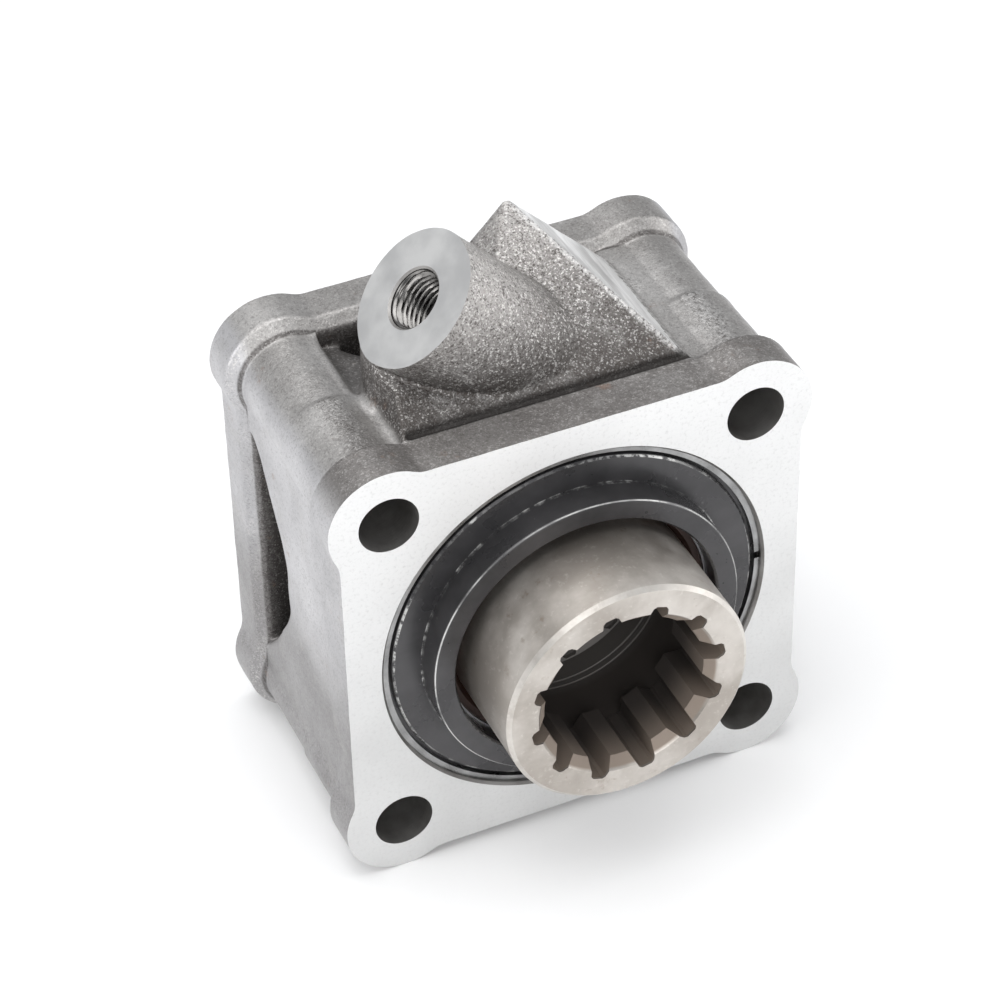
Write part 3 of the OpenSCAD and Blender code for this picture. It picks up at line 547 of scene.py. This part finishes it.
def paint_cad_nodes():
    """Give each CAD node that is shown its material, by the record's slot."""
    finishes = {
        "blackened_steel": black_ring(),
        "bright_steel": plain_steel("bright_spring_steel", (0.22, 0.22, 0.22), (0.40, 0.40, 0.40), 0.26),
        "hub_steel": hub_steel(),
        "bearing_steel": plain_steel("ground_steel", (0.52, 0.52, 0.53), (0.66, 0.66, 0.67), 0.16),
        "cage_brass": plain_steel("cage_brass", (0.42, 0.30, 0.12), (0.58, 0.43, 0.20), 0.32),
        "seal_steel": plain_steel("pressed_steel", (0.26, 0.26, 0.27), (0.38, 0.38, 0.39), 0.34),
        "seal_rubber": rubber("brown_rubber", (0.030, 0.014, 0.010), (0.05, 0.022, 0.015)),
        "black_rubber": rubber("black_rubber", (0.012, 0.012, 0.012), (0.022, 0.022, 0.022)),
        "dark_steel": plain_steel("phosphated_steel", (0.060, 0.060, 0.062), (0.11, 0.11, 0.112), 0.36),
        "gear_steel": plain_steel("gear_steel", (0.34, 0.33, 0.32), (0.47, 0.46, 0.45), 0.28),
        "bronze": plain_steel("sintered_bronze", (0.34, 0.22, 0.10), (0.46, 0.32, 0.16), 0.40),
        "cast_iron": cast_iron(),
    }
    for part in frame["record"]["subparts"]:
        obj = frame["nodes"][part["node"]]
        obj.data.materials.clear()
        obj.data.materials.append(finishes[part["material_slot"]])
    return finishes


# The housing, made as the real one is: a casting with some stock on it, then machined

def stock_on(source, direction, distance, name):
    """Slab of machining stock on every face of source that lies in one plane."""
    normal = Vector(direction).normalized()
    bm = bmesh.new()
    bm.from_mesh(source.data)
    bm.normal_update()
    near = 0.05 * MM
    away = [f for f in bm.faces if f.normal.dot(normal) < 0.999
            or abs(f.calc_center_median().dot(normal) - distance * MM) > near]
    bmesh.ops.delete(bm, geom=away, context="FACES")
    made = bmesh.ops.extrude_face_region(bm, geom=bm.faces[:])
    moved = [v for v in made["geom"] if isinstance(v, bmesh.types.BMVert)]
    bmesh.ops.translate(bm, verts=moved, vec=normal * STOCK * MM)
    bmesh.ops.translate(bm, verts=[v for v in bm.verts if v not in set(moved)], vec=normal * -0.4 * MM)
    bmesh.ops.recalc_face_normals(bm, faces=bm.faces[:])
    mesh = bpy.data.meshes.new(name)
    bm.to_mesh(mesh)
    bm.free()
    return new_object(name, mesh)


def port_direction():
    return (-math.sin(PORT_ANGLE), 0, math.cos(PORT_ANGLE))


def bolt_centres():
    half = BOLT_PITCH / 2
    return [(x, z) for x in (-half, half) for z in (-half, half)]


def along_y(x, z):
    return Matrix.Translation(mm(x, 0, z)) @ hub_matrix()


def top_pocket():
    """Pocket between the wedge's left side and the rear flange, clear of the boss and its foot."""
    pocket = block("top_pocket", TOP_POCKET_LOW, TOP_POCKET_HIGH, Matrix.Identity(4))
    cut(pocket, rod("boss_keep", BOSS_R + 0.1, 0, PORT_FACE_D + 4, port_matrix()))
    upright = Matrix.Translation(mm(FOOT_X, PORT_Y, 0))
    cut(pocket, rod("foot_keep", BOSS_R + 0.1, 0, PORT_FACE_D + 4, upright))
    return pocket


def raw_casting():
    """The CAD housing with its bores filled and stock on its machined faces, as one rounded skin."""
    source = frame["nodes"]["housing"]
    copy = new_object("copy", source.data.copy())
    cut(copy, top_pocket())
    cut(copy, block("crease", CREASE_LOW, CREASE_HIGH, Matrix.Identity(4)))
    parts = [copy]
    parts.append(stock_on(source, (0, -1, 0), 0, "front_stock"))
    parts.append(stock_on(source, (0, 1, 0), DEPTH, "rear_stock"))
    parts.append(stock_on(source, port_direction(), PORT_FACE_D, "port_stock"))
    parts.append(rod("bore_fill", BORE_R + 2.4, -STOCK, BORE_DEPTH + 1, hub_matrix(), 96))
    parts.append(rod("cavity_fill", CAVITY_R + 8, BORE_DEPTH - 1, REAR_BORE_Y, hub_matrix(), 96))
    parts.append(rod("rear_fill", REAR_BORE_R + 1.6, REAR_BORE_Y - 1, DEPTH + STOCK, hub_matrix(), 96))
    for i, (x, z) in enumerate(bolt_centres()):
        parts.append(rod(f"bolt_fill_{i}", BOLT_HOLE_R + 0.8, -STOCK, DEPTH + STOCK, along_y(x, z)))
    parts.append(rod("port_fill", THREAD_R + 1.2, 0, PORT_FACE_D + STOCK, port_matrix()))
    parts.append(rod("plunger_fill", PLUNGER_BORE_R + 1.2, -PLUNGER_PAST - 0.5, PORT_FACE_D - 5,
                     port_matrix()))
    raw = join(parts, "housing_skin")
    mod = raw.modifiers.new("remesh", "REMESH")
    mod.mode = "VOXEL"
    mod.voxel_size = VOXEL * MM
    apply_modifiers(raw)
    ease_pockets(raw)
    soften(raw)
    roughen(raw)
    return raw


def ease_pockets(obj):
    """Rounds the edges of the pockets more than the rest, as the photograph shows them."""
    group = obj.vertex_groups.new(name="pocket_edges")
    levels = {}
    for v in obj.data.vertices:
        x, y, z = v.co / MM
        if not EASE_FROM < y < EASE_TO:
            continue
        out, along = (abs(x), z) if abs(x) > abs(z) else (abs(z), x)
        if out < EASE_DEPTH or abs(along) > EASE_HALF or (z > TOP_LEVEL and abs(z) >= abs(x)):
            continue
        if z > abs(x) and x > TOP_POCKET_HIGH[0]:
            continue
        share = min(1, (y - EASE_FROM) / 4, (EASE_TO - y) / 3, (EASE_HALF - abs(along)) / 3)
        levels.setdefault(round(share * 8) / 8, []).append(v.index)
    for share, indexes in levels.items():
        group.add(indexes, share, "REPLACE")
    mod = obj.modifiers.new("ease", "SMOOTH")
    mod.factor = 0.5
    mod.iterations = EASE_PASSES
    mod.vertex_group = group.name
    apply_modifiers(obj)


def soften(obj):
    """Rounds the casting's edges and corners, as foundry sand does."""
    mod = obj.modifiers.new("soften", "SMOOTH")
    mod.factor = 0.5
    mod.iterations = SMOOTH_PASSES
    apply_modifiers(obj)


def roughen(obj):
    """Slight waviness of the cast skin, as real geometry."""
    texture = bpy.data.textures.new("cast_waves", "CLOUDS")
    texture.noise_scale = WAVE_SIZE * MM
    texture.noise_depth = 3
    mod = obj.modifiers.new("waves", "DISPLACE")
    mod.texture = texture
    mod.texture_coords = "LOCAL"
    mod.strength = WAVE_HEIGHT * MM
    mod.mid_level = 0.5
    apply_modifiers(obj)
    mod = obj.modifiers.new("thin", "DECIMATE")
    mod.ratio = KEEP_SHARE
    apply_modifiers(obj)


def machine(raw):
    """Faces the three machined planes and bores the holes."""
    for direction, distance in [((0, -1, 0), 0), ((0, 1, 0), DEPTH)]:
        bm = bmesh.new()
        bm.from_mesh(raw.data)
        normal = Vector(direction)
        result = bmesh.ops.bisect_plane(bm, geom=bm.verts[:] + bm.edges[:] + bm.faces[:], dist=1e-7,
                                        plane_co=normal * distance * MM, plane_no=normal, clear_outer=True)
        edges = [e for e in result["geom_cut"] if isinstance(e, bmesh.types.BMEdge)]
        bmesh.ops.contextual_create(bm, geom=edges)
        bm.to_mesh(raw.data)
        bm.free()
    snap, snap_r = SNAP_GROOVE, BORE_R + SNAP_GROOVE_DEPTH
    rear, rear_r = REAR_GROOVE, REAR_BORE_R + REAR_GROOVE_DEPTH
    cut(raw, lathe("bores", [
        (0.01, -FAR), (BORE_R + BORE_CHAMFER + FAR, -FAR), (BORE_R, BORE_CHAMFER),
        (BORE_R, snap[0]), (snap_r, snap[0]), (snap_r, snap[1]), (BORE_R, snap[1]), (BORE_R, BORE_DEPTH),
        (LAND_R, BORE_DEPTH), (LAND_R, LAND_END_Y), (CAVITY_R, LAND_END_Y),
        (CAVITY_R, REAR_BORE_Y), (REAR_BORE_R, REAR_BORE_Y),
        (REAR_BORE_R, rear[0]), (rear_r, rear[0]), (rear_r, rear[1]), (REAR_BORE_R, rear[1]),
        (REAR_BORE_R, DEPTH + OVER), (0.01, DEPTH + OVER)], hub_matrix(), 192))
    for x, z in bolt_centres():
        cut(raw, rod("bolt_hole", BOLT_HOLE_R, -OVER, DEPTH + OVER, along_y(x, z), 96))
    mouth = PORT_FACE_D
    bottom = mouth - THREAD_DEPTH - PORT_CHAMFER
    cut(raw, lathe("port_cut", [
        (0.01, -PLUNGER_PAST), (PLUNGER_BORE_R, -PLUNGER_PAST), (PLUNGER_BORE_R, bottom), (THREAD_R, bottom),
        (THREAD_R, mouth - PORT_CHAMFER), (THREAD_R + PORT_CHAMFER, mouth), (BOSS_R + 3, mouth),
        (BOSS_R + 3, mouth + 2 * OVER), (0.01, mouth + 2 * OVER)], port_matrix(), 96))
    cut(raw, block("guide_slot", (-GUIDE_DROP, -GUIDE_HALF_L, -GUIDE_HALF_W),
                   (0, GUIDE_HALF_L, GUIDE_HALF_W), port_matrix()))


def sort_faces(obj, finishes):
    """Gives each face of the housing the finish of the work that made it."""
    slots = [finishes["cast_iron"], machined_face(), port_face(), right_face(), bored_iron()]
    for mat in slots:
        obj.data.materials.append(mat)
    port = Vector(port_direction())
    right = Vector((math.cos(PORT_ANGLE), 0, math.sin(PORT_ANGLE)))
    inverse = port_matrix().inverted()
    flat = []
    for face in obj.data.polygons:
        c, n = face.center / MM, face.normal
        radial = math.hypot(c.x, c.z)
        local = inverse @ face.center / MM
        hole = min(math.hypot(c.x - x, c.z - z) for x, z in bolt_centres())
        if abs(c.y) < 0.02 or abs(c.y - DEPTH) < 0.02:
            face.material_index = 1
            flat.append(face)
        elif abs(c.dot(port) - PORT_FACE_D) < 0.02 and n.dot(port) > 0.99:
            face.material_index = 2
            flat.append(face)
        elif n.dot(right) > 0.93 and abs(c.dot(right) - RIGHT_FACE_D) < 0.7 and c.z > 49:
            face.material_index = 3
        elif radial < BORE_R + 1.3 and -0.1 < c.y < DEPTH and radial < (41.3 if c.y < 17 else 33):
            face.material_index = 4
        elif hole < BOLT_HOLE_R + 0.05:
            face.material_index = 4
        elif math.hypot(local.x, local.y) < THREAD_R + 0.45 and local.z < PORT_FACE_D:
            face.material_index = 4
    for face in flat:
        face.use_smooth = False


def make_housing(finishes):
    raw = raw_casting()
    machine(raw)
    shade_smooth(raw, 35)
    sort_faces(raw, finishes)
    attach(raw, HOUSING)
    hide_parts("housing")


def make_hub(finishes):
    """The hub with its splines ending in a turned relief bore, whose rings are seen at the bottom."""
    hub = new_object("splined_hub", frame["nodes"]["output_hub"].data.copy())
    profile = [(0.01, SPLINE_END_Y), (RELIEF_R - 0.6, SPLINE_END_Y), (RELIEF_R, SPLINE_END_Y + 0.6)]
    for y in RING_CUTS:
        profile += [(RELIEF_R, y), (RELIEF_R + 0.35, y + 0.25), (RELIEF_R, y + 0.5)]
    profile += [(RELIEF_R, RELIEF_END_Y - 1), (RELIEF_R - 1, RELIEF_END_Y), (0.01, RELIEF_END_Y)]
    cut(hub, lathe("relief", profile, hub_matrix(), 192))
    shade_smooth(hub, 30)
    hub.data.materials.clear()
    hub.data.materials.append(finishes["hub_steel"])
    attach(hub, HUB)
    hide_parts("output_hub")


def make_spring(finishes):
    """Return spring, at the length the CAD node gives it; the real one shortens towards the bottom of its
    bore as the air pushes the plunger in.
    """
    spring = new_object("return_spring", frame["nodes"]["plunger_spring"].data.copy())
    shade_smooth(spring, 60)
    spring.data.materials.clear()
    spring.data.materials.append(finishes["bright_steel"])
    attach(spring, HOUSING)
    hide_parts("plunger_spring")
    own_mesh(spring)


def make_thread():
    """Internal thread of the air port: a thin sleeve whose inner wall follows the helix."""
    around, per_pitch = 80, 10
    rows = int(THREAD_DEPTH / THREAD_PITCH * per_pitch)
    outer = THREAD_R + 0.02
    verts, faces = [], []
    place = port_matrix()
    for i in range(rows + 1):
        z = PORT_FACE_D - PORT_CHAMFER - THREAD_DEPTH * i / rows
        for j in range(around):
            turn = j / around
            phase = (z / THREAD_PITCH + turn) % 1
            tooth = max(0.0, 1 - abs(phase - 0.5) * 2.3)
            fade = min(1.0, i / per_pitch)
            r = THREAD_R - 0.03 - THREAD_HEIGHT * min(1.0, tooth * 1.15) * fade
            a = 2 * math.pi * turn
            verts.append(place @ mm(r * math.cos(a), r * math.sin(a), z))
    inner = len(verts)
    for z in (PORT_FACE_D - PORT_CHAMFER, PORT_FACE_D - PORT_CHAMFER - THREAD_DEPTH):
        for j in range(around):
            a = 2 * math.pi * j / around
            verts.append(place @ mm(outer * math.cos(a), outer * math.sin(a), z))
    for i in range(rows):
        for j in range(around):
            k = (j + 1) % around
            faces.append((i * around + j, i * around + k, (i + 1) * around + k, (i + 1) * around + j))
    for j in range(around):
        k = (j + 1) % around
        faces.append((inner + j, inner + k, k, j))
        faces.append((rows * around + j, rows * around + k, inner + around + k, inner + around + j))
        faces.append((inner + around + j, inner + around + k, inner + k, inner + j))
    thread = new_object("port_thread", mesh_from("port_thread", verts, faces))
    bm = bmesh.new()
    bm.from_mesh(thread.data)
    bmesh.ops.recalc_face_normals(bm, faces=bm.faces[:])
    bm.to_mesh(thread.data)
    bm.free()
    shade_smooth(thread, 40)
    thread.data.materials.append(thread_steel())
    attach(thread, HOUSING)


# Room, light and camera

def make_floor():
    low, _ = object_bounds()
    size = 1.6
    bm = bmesh.new()
    bmesh.ops.create_grid(bm, x_segments=1, y_segments=1, size=size,
                          matrix=Matrix.Translation((0, 0, low.z)))
    mesh = bpy.data.meshes.new("floor")
    bm.to_mesh(mesh)
    bm.free()
    floor = new_object("floor", mesh)
    mat = bpy.data.materials.new("pale_floor")
    tree = clear_nodes(mat)
    out = tree.nodes.new("ShaderNodeOutputMaterial")
    diffuse = tree.nodes.new("ShaderNodeBsdfDiffuse")
    diffuse.inputs[0].default_value = (0.93, 0.93, 0.93, 1)
    tree.links.new(diffuse.outputs[0], out.inputs[0])
    floor.data.materials.append(mat)


def area_light(name, place, target, size, watts):
    light = bpy.data.lights.new(name, "AREA")
    light.shape = "SQUARE"
    light.size = size
    light.energy = watts
    obj = new_object(name, light)
    obj.location = place
    obj.rotation_mode = "QUATERNION"
    obj.rotation_quaternion = (Vector(target) - Vector(place)).to_track_quat("-Z", "Y")


def make_lights():
    centre = (0, 0.02, 0)
    area_light("top_box", (-0.10, 0.10, 0.85), centre, 0.9, 6.0)
    area_light("front_box", (-0.15, -0.95, 0.45), centre, 0.8, 4.6)
    area_light("left_box", (-0.85, 0.0, 0.35), centre, 0.6, 3.2)
    area_light("right_box", (0.85, -0.1, 0.30), centre, 0.6, 3.0)
    world = bpy.data.worlds.new("studio")
    bpy.context.scene.world = world
    world.use_nodes = True
    tree = world.node_tree
    tree.nodes.clear()
    out = tree.nodes.new("ShaderNodeOutputWorld")
    sky = tree.nodes.new("ShaderNodeBackground")
    seen = tree.nodes.new("ShaderNodeBackground")
    pick = tree.nodes.new("ShaderNodeMixShader")
    path = tree.nodes.new("ShaderNodeLightPath")
    sky.inputs[0].default_value = (0.95, 0.97, 1.0, 1)
    sky.inputs[1].default_value = 0.42
    seen.inputs[0].default_value = (1, 1, 1, 1)
    seen.inputs[1].default_value = 1.0
    tree.links.new(path.outputs["Is Camera Ray"], pick.inputs[0])
    tree.links.new(sky.outputs[0], pick.inputs[1])
    tree.links.new(seen.outputs[0], pick.inputs[2])
    tree.links.new(pick.outputs[0], out.inputs[0])


# The photograph's camera, solved from the bolt square and the rings
CAM_AZIMUTH = math.radians(-23.503)
CAM_ELEVATION = math.radians(39.642)
CAM_ROLL = math.radians(-1.464)
CAM_DISTANCE = 0.6789
CAM_SHIFT_RIGHT = -0.0147
CAM_SHIFT_UP = 0.0231
CAM_LENS = 127.6


def make_camera():
    az, el, roll = CAM_AZIMUTH, CAM_ELEVATION, CAM_ROLL
    back = Vector((math.sin(az) * math.cos(el), -math.cos(az) * math.cos(el), math.sin(el)))
    level = Vector((0, 0, 1)).cross(back).normalized()
    upright = back.cross(level)
    right = math.cos(roll) * level + math.sin(roll) * upright
    up = -math.sin(roll) * level + math.cos(roll) * upright
    cam = bpy.data.cameras.new("camera")
    cam.sensor_width = 36
    cam.lens = CAM_LENS
    obj = new_object("camera", cam)
    place = back * CAM_DISTANCE + right * CAM_SHIFT_RIGHT + up * CAM_SHIFT_UP
    basis = Matrix((right, up, back)).transposed().to_4x4()
    obj.matrix_world = Matrix.Translation(place) @ basis
    bpy.context.scene.camera = obj


make_camera()
make_floor()
make_lights()
finishes = paint_cad_nodes()
make_housing(finishes)
make_hub(finishes)
make_spring(finishes)
make_thread()

view = bpy.context.scene.view_settings
view.view_transform = "Standard"
